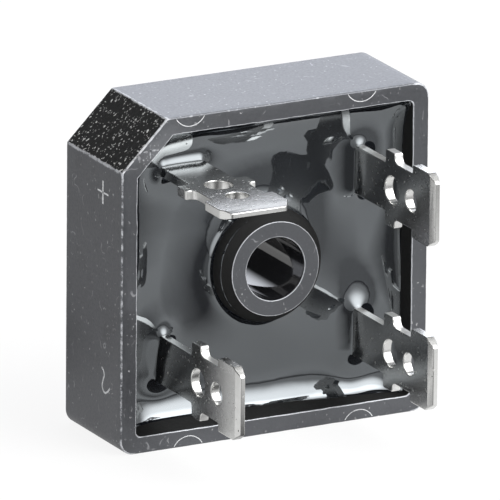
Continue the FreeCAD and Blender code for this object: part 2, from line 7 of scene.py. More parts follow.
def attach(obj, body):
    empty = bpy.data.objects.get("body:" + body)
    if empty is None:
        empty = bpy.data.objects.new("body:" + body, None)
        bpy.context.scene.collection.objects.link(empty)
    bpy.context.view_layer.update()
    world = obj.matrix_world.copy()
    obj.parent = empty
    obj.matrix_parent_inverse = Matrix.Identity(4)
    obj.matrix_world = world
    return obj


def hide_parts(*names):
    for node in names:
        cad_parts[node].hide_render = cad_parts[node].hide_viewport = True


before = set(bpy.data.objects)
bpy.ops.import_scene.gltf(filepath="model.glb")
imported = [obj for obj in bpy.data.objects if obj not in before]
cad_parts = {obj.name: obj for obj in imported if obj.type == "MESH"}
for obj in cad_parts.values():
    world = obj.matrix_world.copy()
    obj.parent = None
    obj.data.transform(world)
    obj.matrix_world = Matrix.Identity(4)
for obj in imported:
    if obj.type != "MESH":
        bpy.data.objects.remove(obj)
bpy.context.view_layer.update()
scene = bpy.context.scene
MM = 0.001

# Sizes in millimetres. Heights are over the mounting face and run along -Y.
HALF = 14.3  # half the width
CUT = 10.15  # start of the chamfer
DEPTH = 10.1  # mounting face to rim
WALL = 1.45  # wall at the rim
CAVITY = HALF - WALL
CAVITY_CUT = 9.70
FLOOR = 2.35  # inner floor
BOSS = 4.9  # radius of the boss
BOSS_TOP = 4.07  # radius of its end face
BOSS_END = 10.18  # height of its end face
CONE = 8.95  # height where its conical end starts
BORE = 2.77  # radius of the hole
SLEEVE = 3.9  # radius of the sleeve through the metal back
POCKET = 12.6  # half the metal back
POCKET_CUT = 9.6
PLATE = 1.6  # thickness of the metal back
CHAMFER_SHIFT = 0.414  # how far the chamfer's start moves per unit of inset

# Tab strips: name, x and z of the strip, then the directions of its width and its face.
TABS = (
    ("plus", -7.6, 9.1, (-1, 0, 0), (0, 0, 1)),
    ("ac_upper", 8.97, 6.82, (0, 0, 1), (1, 0, 0)),
    ("ac_lower", -8.97, -7.35, (0, 0, -1), (-1, 0, 0)),
    ("minus", 8.97, -7.35, (0, 0, 1), (1, 0, 0)),
)


# Node helpers

def new_material(name):
    """Material with an empty principled shader: the material, its tree and the shader."""
    mat = bpy.data.materials.new(name)
    mat.use_nodes = True
    tree = mat.node_tree
    tree.nodes.clear()
    out = tree.nodes.new("ShaderNodeOutputMaterial")
    bsdf = tree.nodes.new("ShaderNodeBsdfPrincipled")
    tree.links.new(bsdf.outputs["BSDF"], out.inputs["Surface"])
    return mat, tree, bsdf


def node(tree, kind, **values):
    item = tree.nodes.new("ShaderNode" + kind)
    for key, value in values.items():
        setattr(item, key, value)
    return item


def link(tree, source, target):
    tree.links.new(source, target)


def object_coords(tree):
    return node(tree, "TexCoord").outputs["Object"]


def noise_value(tree, coords, scale, detail, rough, stretch=None):
    """Noise from 0 to 1, with its scale per metre."""
    source = coords
    if stretch:
        mapping = node(tree, "Mapping")
        mapping.inputs["Scale"].default_value = stretch
        link(tree, coords, mapping.inputs["Vector"])
        source = mapping.outputs["Vector"]
    item = node(tree, "TexNoise")
    item.inputs["Scale"].default_value = scale
    item.inputs["Detail"].default_value = detail
    item.inputs["Roughness"].default_value = rough
    link(tree, source, item.inputs["Vector"])
    return item.outputs["Fac"]


def ramp(tree, value, low, high, start=0.0, end=1.0):
    """Value that goes from start to end while another goes from low to high."""
    item = node(tree, "MapRange", clamp=True)
    item.inputs["From Min"].default_value = low
    item.inputs["From Max"].default_value = high
    item.inputs["To Min"].default_value = start
    item.inputs["To Max"].default_value = end
    link(tree, value, item.inputs["Value"])
    return item.outputs["Result"]


def math_node(tree, kind, a, b=None):
    """Result of a math node; a and b are numbers or sockets."""
    item = node(tree, "Math", operation=kind)
    for socket, value in zip(item.inputs, (a, b)):
        if value is None:
            continue
        if isinstance(value, (int, float)):
            socket.default_value = value
        else:
            link(tree, value, socket)
    return item.outputs["Value"]


def mix_color(tree, factor, a, b):
    """Colour from a to b; each is a constant colour or a socket."""
    item = node(tree, "Mix", data_type="RGBA")
    link(tree, factor, item.inputs["Factor"])
    sockets = [s for s in item.inputs if s.type == "RGBA"]
    for socket, value in zip(sockets, (a, b)):
        if isinstance(value, tuple):
            socket.default_value = value + (1.0,)
        else:
            link(tree, value, socket)
    return [s for s in item.outputs if s.type == "RGBA"][0]


def bump(tree, height, strength, distance, under=None):
    """Normal with relief on it, over the relief of another one; distance in metres."""
    item = node(tree, "Bump")
    item.inputs["Strength"].default_value = strength
    item.inputs["Distance"].default_value = distance
    link(tree, height, item.inputs["Height"])
    if under:
        link(tree, under, item.inputs["Normal"])
    return item.outputs["Normal"]


def attribute(tree, name):
    return node(tree, "Attribute", attribute_name=name).outputs["Fac"]


# Materials

WORN = (0.42, 0.43, 0.45)
DUSTY = (0.30, 0.30, 0.31)


def thin_lines(tree, coords, scale, width, keep):
    """Short thin scratches: where one noise crosses its middle and another is high."""
    wave = noise_value(tree, coords, scale, 1.0, 0.5)
    away = math_node(tree, "ABSOLUTE", math_node(tree, "SUBTRACT", wave, 0.5))
    line = ramp(tree, away, width, width * 2.2, 1.0, 0.0)
    place = noise_value(tree, coords, scale * 0.8, 2.0, 0.6)
    return math_node(tree, "MULTIPLY", line, ramp(tree, place, keep, keep + 0.05))


def worn_edges(tree, base, chips, tone=WORN):
    """Light worn colour on the edges: an attribute with its border broken up by noise."""
    broken = math_node(tree, "MULTIPLY", math_node(tree, "SUBTRACT", chips, 0.5), 1.5)
    wear = math_node(tree, "ADD", attribute(tree, "wear"), broken)
    return mix_color(tree, ramp(tree, wear, 0.58, 0.82, 0.0, 0.9), base, tone)


def flecks(tree, coords, scale, size, share, stretch=(1.0, 1.0, 1.0)):
    """Small light chips: irregular spots in some cells of a cell pattern."""
    bend = node(tree, "TexNoise")
    bend.inputs["Scale"].default_value = scale * 1.3
    bend.inputs["Detail"].default_value = 2.0
    link(tree, coords, bend.inputs["Vector"])
    shift = node(tree, "VectorMath", operation="SCALE")
    link(tree, bend.outputs["Color"], shift.inputs[0])
    shift.inputs["Scale"].default_value = 1.1 / scale
    moved = node(tree, "VectorMath", operation="ADD")
    link(tree, coords, moved.inputs[0])
    link(tree, shift.outputs["Vector"], moved.inputs[1])
    mapping = node(tree, "Mapping")
    mapping.inputs["Scale"].default_value = stretch
    mapping.inputs["Rotation"].default_value = (0.3, 0.5, 0.2)
    link(tree, moved.outputs["Vector"], mapping.inputs["Vector"])
    cells = node(tree, "TexVoronoi")
    cells.inputs["Scale"].default_value = scale
    link(tree, mapping.outputs["Vector"], cells.inputs["Vector"])
    spot = ramp(tree, cells.outputs["Distance"], size * 0.6, size, 1.0, 0.0)
    apart = node(tree, "SeparateXYZ")
    link(tree, cells.outputs["Color"], apart.inputs[0])
    chance = ramp(tree, apart.outputs["X"], 1.0 - share, 1.0, 0.15, 1.0)
    chosen = ramp(tree, apart.outputs["X"], 1.0 - share, 1.001 - share)
    return math_node(tree, "MULTIPLY", math_node(tree, "MULTIPLY", spot, chance), chosen)


def case_material():
    """Moulded case: dark grain with dust, chips, scuffs and scratches."""
    mat, tree, bsdf = new_material("moulded_case")
    coords = object_coords(tree)
    fine = noise_value(tree, coords, 4200.0, 4.0, 0.65)
    broad = noise_value(tree, coords, 260.0, 3.0, 0.6)
    dust = noise_value(tree, coords, 2300.0, 5.0, 0.7)
    chips = noise_value(tree, coords, 1700.0, 6.0, 0.75)
    base = mix_color(
        tree, ramp(tree, broad, 0.35, 0.7), (0.010, 0.0105, 0.012), (0.018, 0.019, 0.021)
    )
    # pale grain, dust and chips
    grain = ramp(tree, noise_value(tree, coords, 5200.0, 3.0, 0.7), 0.35, 0.65)
    grain = math_node(tree, "MULTIPLY", grain, 0.45)
    base = mix_color(tree, grain, base, (0.036, 0.037, 0.040))
    base = mix_color(tree, ramp(tree, dust, 0.66, 0.74, 0.0, 0.4), base, DUSTY)
    for scale, size, share, stretch, tone in (
        (1300.0, 0.14, 0.45, (1.0, 1.0, 0.25), 0.16),
        (2400.0, 0.20, 0.35, (1.0, 1.0, 0.7), 0.30),
    ):
        spots = flecks(tree, coords, scale, size, share, stretch)
        base = mix_color(tree, spots, base, (tone, tone, tone))
    # scuffed patches, darker with flecks, and thin scratches
    scuff = ramp(tree, noise_value(tree, coords, 330.0, 3.0, 0.6), 0.60, 0.68)
    darker = math_node(tree, "MULTIPLY", scuff, 0.7)
    base = mix_color(tree, darker, base, (0.006, 0.006, 0.006))
    spots = flecks(tree, coords, 3300.0, 0.34, 0.60)
    base = mix_color(tree, math_node(tree, "MULTIPLY", scuff, spots), base, DUSTY)
    scratch = math_node(tree, "MULTIPLY", thin_lines(tree, coords, 620.0, 0.006, 0.60), 0.5)
    base = mix_color(tree, scratch, base, DUSTY)
    base = worn_edges(tree, base, chips)
    link(tree, base, bsdf.inputs["Base Color"])
    bsdf.inputs["IOR"].default_value = 2.0
    bsdf.inputs["Specular Tint"].default_value = (0.91, 0.935, 1.0, 1.0)
    link(tree, ramp(tree, fine, 0.3, 0.7, 0.34, 0.48), bsdf.inputs["Roughness"])
    normal = bump(tree, fine, 0.25, 0.00003)
    normal = bump(tree, broad, 0.12, 0.00012, normal)
    link(tree, normal, bsdf.inputs["Normal"])
    return mat


def chamfer_material():
    """Rough chamfer of the case: nearly black, full of light flecks."""
    mat, tree, bsdf = new_material("ground_chamfer")
    coords = object_coords(tree)
    chips = noise_value(tree, coords, 1500.0, 6.0, 0.75)
    fine = noise_value(tree, coords, 3800.0, 5.0, 0.7)
    base = mix_color(
        tree, ramp(tree, fine, 0.3, 0.7), (0.006, 0.006, 0.006), (0.022, 0.022, 0.022)
    )
    for scale, size, share, stretch in (
        (2900.0, 0.26, 0.50, (1.0, 1.0, 0.6)),
        (2300.0, 0.24, 0.45, (0.5, 1.0, 1.0)),
        (1500.0, 0.14, 0.60, (1.0, 1.0, 0.25)),
        (1500.0, 0.13, 0.50, (0.3, 1.0, 1.0)),
        (3600.0, 0.30, 0.50, (1.0, 1.0, 1.0)),
    ):
        spots = flecks(tree, coords, scale, size, share, stretch)
        base = mix_color(tree, spots, base, (0.62, 0.62, 0.61))
    base = mix_color(tree, ramp(tree, chips, 0.68, 0.74, 0.0, 0.6), base, (0.45, 0.45, 0.45))
    base = worn_edges(tree, base, chips, (0.50, 0.51, 0.53))
    link(tree, base, bsdf.inputs["Base Color"])
    bsdf.inputs["IOR"].default_value = 1.3
    link(tree, ramp(tree, fine, 0.3, 0.7, 0.75, 0.95), bsdf.inputs["Roughness"])
    normal = bump(tree, chips, 0.8, 0.00012)
    normal = bump(tree, fine, 0.5, 0.00005, normal)
    link(tree, normal, bsdf.inputs["Normal"])
    return mat


def inner_material():
    """Smooth moulding: hole and step round the metal back."""
    mat, tree, bsdf = new_material("smooth_case")
    coords = object_coords(tree)
    fine = noise_value(tree, coords, 2600.0, 3.0, 0.6)
    drawn = noise_value(tree, coords, 1500.0, 3.0, 0.6, (1.0, 0.08, 1.0))
    chips = noise_value(tree, coords, 2400.0, 6.0, 0.75)
    base = mix_color(tree, fine, (0.008, 0.008, 0.009), (0.016, 0.016, 0.018))
    base = worn_edges(tree, base, chips)
    link(tree, base, bsdf.inputs["Base Color"])
    bsdf.inputs["IOR"].default_value = 2.1
    link(tree, ramp(tree, fine, 0.3, 0.7, 0.04, 0.08), bsdf.inputs["Roughness"])
    link(tree, bump(tree, drawn, 0.15, 0.00002), bsdf.inputs["Normal"])
    return mat


def side_material():
    """Matt moulding inside the case: walls and side of the boss."""
    mat, tree, bsdf = new_material("matt_case")
    coords = object_coords(tree)
    fine = noise_value(tree, coords, 3200.0, 4.0, 0.65)
    chips = noise_value(tree, coords, 2400.0, 6.0, 0.75)
    base = mix_color(tree, fine, (0.006, 0.006, 0.006), (0.018, 0.018, 0.018))
    base = mix_color(tree, ramp(tree, chips, 0.70, 0.76, 0.0, 0.5), base, (0.35, 0.35, 0.35))
    base = worn_edges(tree, base, chips)
    link(tree, base, bsdf.inputs["Base Color"])
    bsdf.inputs["IOR"].default_value = 1.25
    link(tree, ramp(tree, fine, 0.3, 0.7, 0.62, 0.80), bsdf.inputs["Roughness"])
    link(tree, bump(tree, fine, 0.4, 0.00004), bsdf.inputs["Normal"])
    return mat


def potting_material():
    """Cast compound: glossy and nearly black."""
    mat, tree, bsdf = new_material("cast_compound")
    coords = object_coords(tree)
    broad = noise_value(tree, coords, 160.0, 2.0, 0.5)
    dust = noise_value(tree, coords, 2100.0, 4.0, 0.7)
    base = mix_color(
        tree, ramp(tree, broad, 0.35, 0.65), (0.004, 0.0045, 0.006), (0.008, 0.009, 0.011)
    )
    base = mix_color(tree, ramp(tree, dust, 0.74, 0.79, 0.0, 0.5), base, (0.4, 0.4, 0.42))
    link(tree, base, bsdf.inputs["Base Color"])
    bsdf.inputs["IOR"].default_value = 2.18
    bsdf.inputs["Specular Tint"].default_value = (0.90, 0.96, 1.0, 1.0)
    link(tree, ramp(tree, broad, 0.3, 0.7, 0.02, 0.05), bsdf.inputs["Roughness"])
    wave = noise_value(tree, coords, 900.0, 1.0, 0.5)
    link(tree, bump(tree, wave, 0.20, 0.00003), bsdf.inputs["Normal"])
    return mat


def tab_material():
    """Tin plate of the tabs, drawn along the strip, with specks and pits."""
    mat, tree, bsdf = new_material("tin_plate")
    coords = object_coords(tree)
    broad = noise_value(tree, coords, 500.0, 3.0, 0.6)
    fine = noise_value(tree, coords, 3000.0, 4.0, 0.6)
    drawn = noise_value(tree, coords, 1500.0, 3.0, 0.6, (1.0, 0.06, 1.0))
    spots = noise_value(tree, coords, 1900.0, 5.0, 0.7)
    base = mix_color(tree, ramp(tree, broad, 0.3, 0.7), (0.66, 0.66, 0.645), (0.74, 0.74, 0.73))
    link(tree, base, bsdf.inputs["Base Color"])
    bsdf.inputs["Metallic"].default_value = 1.0
    speck = ramp(tree, spots, 0.70, 0.76, 0.0, 0.3)
    pits = flecks(tree, coords, 2300.0, 0.24, 0.40)
    speck = math_node(tree, "ADD", speck, math_node(tree, "MULTIPLY", pits, 0.6))
    gloss = ramp(tree, fine, 0.3, 0.7, 0.20, 0.27)
    link(tree, math_node(tree, "ADD", gloss, speck), bsdf.inputs["Roughness"])
    normal = bump(tree, drawn, 0.10, 0.00002)
    normal = bump(tree, fine, 0.04, 0.00002, normal)
    link(tree, normal, bsdf.inputs["Normal"])
    return mat


def sheared_material():
    """Bright matt metal of the sheared edges."""
    mat, tree, bsdf = new_material("sheared_edge")
    coords = object_coords(tree)
    grain = noise_value(tree, coords, 3400.0, 4.0, 0.65)
    lines = noise_value(tree, coords, 2200.0, 3.0, 0.6, (1.0, 1.0, 0.2))
    base = mix_color(tree, ramp(tree, grain, 0.3, 0.7), (0.70, 0.70, 0.69), (0.84, 0.84, 0.83))
    link(tree, base, bsdf.inputs["Base Color"])
    bsdf.inputs["Metallic"].default_value = 1.0
    link(tree, ramp(tree, lines, 0.3, 0.7, 0.42, 0.58), bsdf.inputs["Roughness"])
    link(tree, bump(tree, lines, 0.3, 0.00003), bsdf.inputs["Normal"])
    return mat


def metal_material(name, low, high, gloss, stretch):
    """Metal between two colours; gloss is its least roughness."""
    mat, tree, bsdf = new_material(name)
    coords = object_coords(tree)
    broad = noise_value(tree, coords, 300.0, 3.0, 0.6)
    lines = noise_value(tree, coords, 900.0, 4.0, 0.65, stretch)
    base = mix_color(tree, ramp(tree, broad, 0.3, 0.7), low, high)
    link(tree, base, bsdf.inputs["Base Color"])
    bsdf.inputs["Metallic"].default_value = 1.0
    link(tree, ramp(tree, lines, 0.3, 0.7, gloss, gloss + 0.15), bsdf.inputs["Roughness"])
    link(tree, bump(tree, lines, 0.2, 0.00002), bsdf.inputs["Normal"])
    return mat


def plain_material(name, low, high, gloss):
    """Plain surface between two colours; gloss is its least roughness."""
    mat, tree, bsdf = new_material(name)
    coords = object_coords(tree)
    broad = noise_value(tree, coords, 700.0, 4.0, 0.6)
    link(tree, mix_color(tree, broad, low, high), bsdf.inputs["Base Color"])
    link(tree, ramp(tree, broad, 0.3, 0.7, gloss, gloss + 0.1), bsdf.inputs["Roughness"])
    link(tree, bump(tree, broad, 0.2, 0.00003), bsdf.inputs["Normal"])
    return mat


def mark_material():
    """Light printed marks and traces."""
    mat, tree, bsdf = new_material("light_marking")
    coords = object_coords(tree)
    grain = noise_value(tree, coords, 6000.0, 4.0, 0.7)
    base = mix_color(tree, ramp(tree, grain, 0.35, 0.6), (0.38, 0.385, 0.39), (0.60, 0.61, 0.62))
    link(tree, base, bsdf.inputs["Base Color"])
    link(tree, ramp(tree, grain, 0.3, 0.7, 0.5, 0.7), bsdf.inputs["Roughness"])
    link(tree, bump(tree, grain, 0.3, 0.00002), bsdf.inputs["Normal"])
    return mat


CASE = case_material()
CHAMFER = chamfer_material()
INNER = inner_material()
SIDE = side_material()
COMPOUND = potting_material()
TIN = tab_material()
SHEARED = sheared_material()
MARK = mark_material()
BACK = metal_material(
    "plated_back", (0.60, 0.60, 0.59), (0.74, 0.74, 0.73), 0.28, (0.05, 1.0, 1.0)
)
COPPER = metal_material("copper", (0.68, 0.36, 0.24), (0.80, 0.47, 0.33), 0.3, (1.0, 1.0, 0.2))
SOLDER = metal_material("solder", (0.50, 0.50, 0.50), (0.62, 0.62, 0.61), 0.35, (1.0, 1.0, 1.0))
SILICON = plain_material("silicon", (0.12, 0.13, 0.16), (0.20, 0.21, 0.25), 0.25)
FILM = plain_material("bond_film", (0.62, 0.40, 0.12), (0.74, 0.52, 0.20), 0.4)


# Mesh helpers

def to_object(name, bm, materials, smooth, weighted=True):
    """Object on the root body from a mesh; edges sharper than smooth degrees stay sharp."""
    mesh = bpy.data.meshes.new(name)
    bm.normal_update()
    bm.to_mesh(mesh)
    bm.free()
    for material in materials:
        mesh.materials.append(material)
    mesh.shade_smooth()
    mesh.set_sharp_from_angle(angle=math.radians(smooth))
    obj = bpy.data.objects.new(name, mesh)
    scene.collection.objects.link(obj)
    if weighted:
        mod = obj.modifiers.new("normals", "WEIGHTED_NORMAL")
        mod.keep_sharp = True
    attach(obj, "root")
    return obj


def fillet_path(corners, radii, sides, arcs):
    """Closed path with rounded corners: points, each with its kind and corner or side.

    sides has the number of points on each side, and arcs the number on each corner.
    """
    points = []
    count = len(corners)
    arc_list = []
    for k in range(count):
        prev = Vector(corners[k - 1])
        here = Vector(corners[k])
        after = Vector(corners[(k + 1) % count])
        way_in = (here - prev).normalized()
        way_out = (after - here).normalized()
        cross = way_in.x * way_out.y - way_in.y * way_out.x
        turn = math.atan2(cross, way_in.dot(way_out))
        reach = radii[k] * math.tan(abs(turn) / 2)
        start = here - way_in * reach
        side = 1.0 if turn > 0 else -1.0
        left = Vector((-way_in.y, way_in.x)) * side
        middle = start + left * radii[k]
        arc = []
        for j in range(arcs):
            angle = turn * j / (arcs - 1)
            spoke = start - middle
            arc.append(
                middle
                + Vector(
                    (
                        spoke.x * math.cos(angle) - spoke.y * math.sin(angle),
                        spoke.x * math.sin(angle) + spoke.y * math.cos(angle),
                    )
                )
            )
        arc_list.append(arc)
    for k in range(count):
        points.extend((p, "corner", k) for p in arc_list[k])
        a = arc_list[k][-1]
        b = arc_list[(k + 1) % count][0]
        for j in range(1, sides[k] + 1):
            t = j / (sides[k] + 1)
            points.append((a.lerp(b, t), "side", k))
    return points


# Case

SIDES = (56, 56, 52, 16, 52)  # points on the lower, right, upper, chamfer and left side
ARC = 8  # points on each corner
CHAMFER_SIDE = 3
OUTER_RADIUS, CUT_RADIUS, CAVITY_RADIUS, POCKET_RADIUS = 1.2, 0.12, 0.5, 0.3
BACK_ROUND, LIP_ROUND, BURR_ROUND, BOSS_ROUND, BORE_ROUND = 0.2, 0.12, 0.06, 0.05, 0.08
BACK_GAP = 0.001  # the back face stays this far inside the solid's
BORE_GAP = 0.04  # the hole's wall covers the solid's by this much
DRAFT = 0.02  # slope of the inner walls

# Material slots of the case, and the skins that its rings of points can have.
CASE_SLOT, INNER_SLOT, CHAMFER_SLOT, SIDE_SLOT, MARK_SLOT = range(5)
GRAINED, SMOOTH, MATT = range(3)

# Wear of the rim's outer edge, side by side in the order of SIDES.
LIP_WEAR = (0.40, 0.42, 0.50, 0.80, 0.66)
LIP_CHIPS, WALL_CHIPS = 0.022, 0.008


def square_ring(half, cut, radius):
    """Ring round the case: lower, right, upper, chamfer and left side in turn."""
    corners = ((-half, -half), (half, -half), (half, half), (-cut, half), (-half, cut))
    radii = (radius, radius, radius, CUT_RADIUS, CUT_RADIUS)
    return [
        (point[0], point[1], kind, k)
        for point, kind, k in fillet_path(corners, radii, SIDES, ARC)
    ]


# Its points give the spokes of the round rings.
REFERENCE = square_ring(CAVITY, CAVITY_CUT, CAVITY_RADIUS)


def round_ring(radius):
    """Circle whose points lie on the spokes of the square rings."""
    ring = []
    for x, z, kind, k in REFERENCE:
        away = math.hypot(x, z)
        ring.append((x / away * radius, z / away * radius, kind, k))
    return ring


def quarter(count):
    """Sine and cosine at even steps of a quarter turn."""
    for step in range(count):
        angle = math.radians(90 * step / (count - 1))
        yield math.sin(angle), math.cos(angle)


def jitter(x, y, z, scale, amount):
    """Noise of a given height at a place."""
    return amount * noise.noise(Vector((x * scale, y * scale, z * scale)))


# Marks are flat bars set into a face. On the rim they stand a little proud.
MARK_SUNK = -0.06
RIM_LIFT = 0.006
# Alternating-current sign on the left side, read downwards: depth from the rim and height.
WAVE = (
    (3.47, -7.53), (3.12, -7.74), (3.01, -8.13), (3.22, -8.60), (3.36, -9.05),
    (3.20, -9.40), (2.88, -9.58), (2.42, -9.38), (1.97, -8.96),
)
WAVE_WIDTH = 0.16
# Plus sign on the left side, and the small one on the rim: two bars each.
SIDE_BARS = ((((3.42, 6.61), (3.42, 8.61)), 0.21), (((2.44, 7.61), (4.40, 7.61)), 0.15))
RIM_BARS = (((-11.7, 11.1), (-11.7, 12.4)), ((-12.35, 11.75), (-11.05, 11.75)))
RIM_BAR_WIDTH, RIM_BAR_WEAR = 0.12, 0.62
# Round traces of the ejectors on the rim.
PIN_X, PIN_Z, PIN_RADIUS, PIN_LINE = 8.0, 14.9, 1.5, 0.065
PIN_STEPS = 32


def stroke(bm, layer, points, place, width, material, wear=0.0):
    """Closed flat bar along points; place(u, v, lift) puts it on a face of the case."""
    count = len(points)
    sections = []
    for i, (u, v) in enumerate(points):
        before = Vector(points[max(i - 1, 0)])
        after = Vector(points[min(i + 1, count - 1)])
        way = (after - before).normalized()
        side = Vector((-way.y, way.x)) * width / 2
        section = []
        for sign, lift in ((-1, 0.0), (1, 0.0), (1, MARK_SUNK), (-1, MARK_SUNK)):
            spot = place(u + sign * side.x, v + sign * side.y, lift)
            vert = bm.verts.new(Vector(spot) * MM)
            vert[layer] = wear
            section.append(vert)
        sections.append(section)
    faces = [bm.faces.new(sections[0]), bm.faces.new(sections[-1][::-1])]
    for a, b in zip(sections, sections[1:]):
        for k in range(4):
            m = (k + 1) % 4
            faces.append(bm.faces.new((a[k], b[k], b[m], a[m])))
    for face in faces:
        face.material_index = material
    bmesh.ops.recalc_face_normals(bm, faces=faces)


def on_left(depth, z, lift):
    """Place on the left side, by its depth from the rim and its z."""
    return (-HALF - lift, depth - DEPTH, z)


def on_rim(x, z, lift):
    """Place on the rim."""
    return (x, -DEPTH - RIM_LIFT - lift, z)


def curve_through(points, steps=5):
    """Smooth curve through points, as a list of close points."""
    path = []
    last = len(points) - 1
    for i in range(last):
        p0, p1 = Vector(points[max(i - 1, 0)]), Vector(points[i])
        p2, p3 = Vector(points[i + 1]), Vector(points[min(i + 2, last)])
        for j in range(steps):
            t = j / steps
            path.append(
                0.5 * (2 * p1 + (p2 - p0) * t + (2 * p0 - 5 * p1 + 4 * p2 - p3) * t * t
                       + (3 * p1 - p0 - 3 * p2 + p3) * t ** 3)
            )
    path.append(Vector(points[-1]))
    return path


def add_marks(bm, layer):
    """Polarity signs on the left side and rim, and the round traces of the ejectors."""
    for bar, width in SIDE_BARS:
        stroke(bm, layer, bar, on_left, width, MARK_SLOT)
    stroke(bm, layer, curve_through(WAVE), on_left, WAVE_WIDTH, MARK_SLOT)
    for bar in RIM_BARS:
        stroke(bm, layer, bar, on_rim, RIM_BAR_WIDTH, CASE_SLOT, RIM_BAR_WEAR)
    for x, z in ((PIN_X, PIN_Z), (-PIN_X, PIN_Z), (PIN_X, -PIN_Z), (-PIN_X, -PIN_Z)):
        toward = -1.0 if z > 0 else 1.0
        arc = []
        for k in range(PIN_STEPS + 1):
            angle = math.radians(30 + 120 * k / PIN_STEPS)
            across = PIN_RADIUS * math.cos(angle)
            arc.append((x + across, z + toward * PIN_RADIUS * math.sin(angle)))
        stroke(bm, layer, arc, on_rim, PIN_LINE, MARK_SLOT)


def case_stations():
    """Rings of the closed case profile: points, height, wear, tag and skin of each."""
    stations = []

    def outline(y, inset, radius=None, wear=0.0, tag=""):
        r = (OUTER_RADIUS - inset) if radius is None else radius
        ring = square_ring(HALF - inset, CUT - inset * CHAMFER_SHIFT, max(r, 0.05))
        stations.append((ring, y, wear, tag, GRAINED))

    def circle(y, radius, wear=0.0, skin=SMOOTH):
        stations.append((round_ring(radius), y, wear, "round", skin))

    def hollow(y, half, cut, radius, wear=0.0, skin=SMOOTH):
        stations.append((square_ring(half, cut, radius), y, wear, "inner", skin))

    # back face and outer back edge
    hollow(-0.12, POCKET, POCKET_CUT, POCKET_RADIUS)
    hollow(-0.02, POCKET + 0.08, POCKET_CUT + 0.04, POCKET_RADIUS, 0.3, GRAINED)
    outline(-BACK_GAP, 0.9)
    outline(-BACK_GAP, 0.28)
    for s, c in quarter(5):
        y = -BACK_ROUND + BACK_ROUND * c - BACK_GAP
        outline(y, BACK_ROUND - BACK_ROUND * s, wear=0.5, tag="outer")
    # outer walls and their edge at the rim
    for y in (-0.26, -1.3, -2.6, -4.0, -5.4, -6.8, -8.2, -9.2, -9.88):
        outline(y, 0.0, tag="outer")
    for s, c in quarter(6):
        y = -(DEPTH - LIP_ROUND) - LIP_ROUND * s
        outline(y, LIP_ROUND - LIP_ROUND * c, wear=0.85, tag="lip")
    # rim face and its worn inner edge
    for inset in (0.16, 0.7, 1.1):
        outline(-DEPTH, inset)
    outline(-DEPTH, WALL - 0.11, CAVITY_RADIUS)
    for s, c in quarter(4):
        y = -(DEPTH - BURR_ROUND) - BURR_ROUND * c
        outline(y, WALL - BURR_ROUND + BURR_ROUND * s, CAVITY_RADIUS, wear=0.9, tag="burr")
    # inner walls and floor
    hollow(-9.98, CAVITY, CAVITY_CUT, CAVITY_RADIUS, skin=MATT)
    for y in (-9.2, -8.4, -7.4, -6.4, -5.0, -FLOOR):
        draft = DRAFT * (DEPTH + y)
        cut = CAVITY_CUT - draft * CHAMFER_SHIFT
        hollow(y, CAVITY - draft, cut, CAVITY_RADIUS, skin=MATT)
    circle(-FLOOR, 8.0, skin=MATT)
    # boss with its conical end
    for y in (-FLOOR, -5.0, -7.4, -8.5, -CONE):
        circle(y, BOSS, skin=MATT)
    circle(-9.6, BOSS - 0.38, skin=MATT)
    circle(-9.98, BOSS_TOP + 0.08, skin=MATT)
    circle(-(BOSS_END - 0.08), BOSS_TOP, skin=MATT)
    for s, c in quarter(4):
        y = -(BOSS_END - BOSS_ROUND) - BOSS_ROUND * s
        circle(y, BOSS_TOP - BOSS_ROUND + BOSS_ROUND * c, 0.9, GRAINED)
    for radius in (BOSS_TOP - 0.09, (BOSS_TOP + BORE) / 2, BORE + 0.06):
        circle(-BOSS_END, radius, 0.0, GRAINED)
    for s, c in quarter(4):
        y = -(BOSS_END - BOSS_ROUND) - BOSS_ROUND * c
        circle(y, BORE + 0.02 - BOSS_ROUND * s, 0.9, GRAINED)
    # hole, sleeve and the step round the metal back
    for y in (-10.1, -9.8, -8.0, -5.5, -3.0, -0.5):
        circle(y, BORE - BORE_GAP)
    for s, c in quarter(3):
        y = -BORE_ROUND + BORE_ROUND * s - BACK_GAP
        circle(y, BORE + BORE_ROUND - BORE_ROUND * c, 0.3)
    circle(-BACK_GAP, SLEEVE - 0.06, 0.0, GRAINED)
    circle(-0.06, SLEEVE, 0.0, GRAINED)
    circle(-PLATE, SLEEVE)
    hollow(-PLATE, POCKET, POCKET_CUT, POCKET_RADIUS)
    return stations


def worn_point(x, y, z, kind, k, tag, wear):
    """Place of a ring's point once edges are chipped, and its wear."""
    px, py, pz = x, y, z
    if tag in ("lip", "outer"):
        amount = LIP_CHIPS if tag == "lip" else WALL_CHIPS
        shrink = abs(jitter(x, y, z, 1.6, amount)) + abs(jitter(x, y, z, 5.0, amount))
        factor = 1.0 - shrink / HALF
        px, pz = x * factor, z * factor
        if kind == "corner":
            wear = max(wear, 0.8 if k >= CHAMFER_SIDE else 0.25)
    if tag == "lip":
        py = y + abs(jitter(x, 3.0, z, 2.2, 0.025))
        if kind == "side":
            wear = LIP_WEAR[k]
    if tag == "burr":
        factor = 1.0 + jitter(x, 1.0, z, 1.2, 0.04) / CAVITY
        px, pz = x * factor, z * factor
    return (px * MM, py * MM, pz * MM), wear


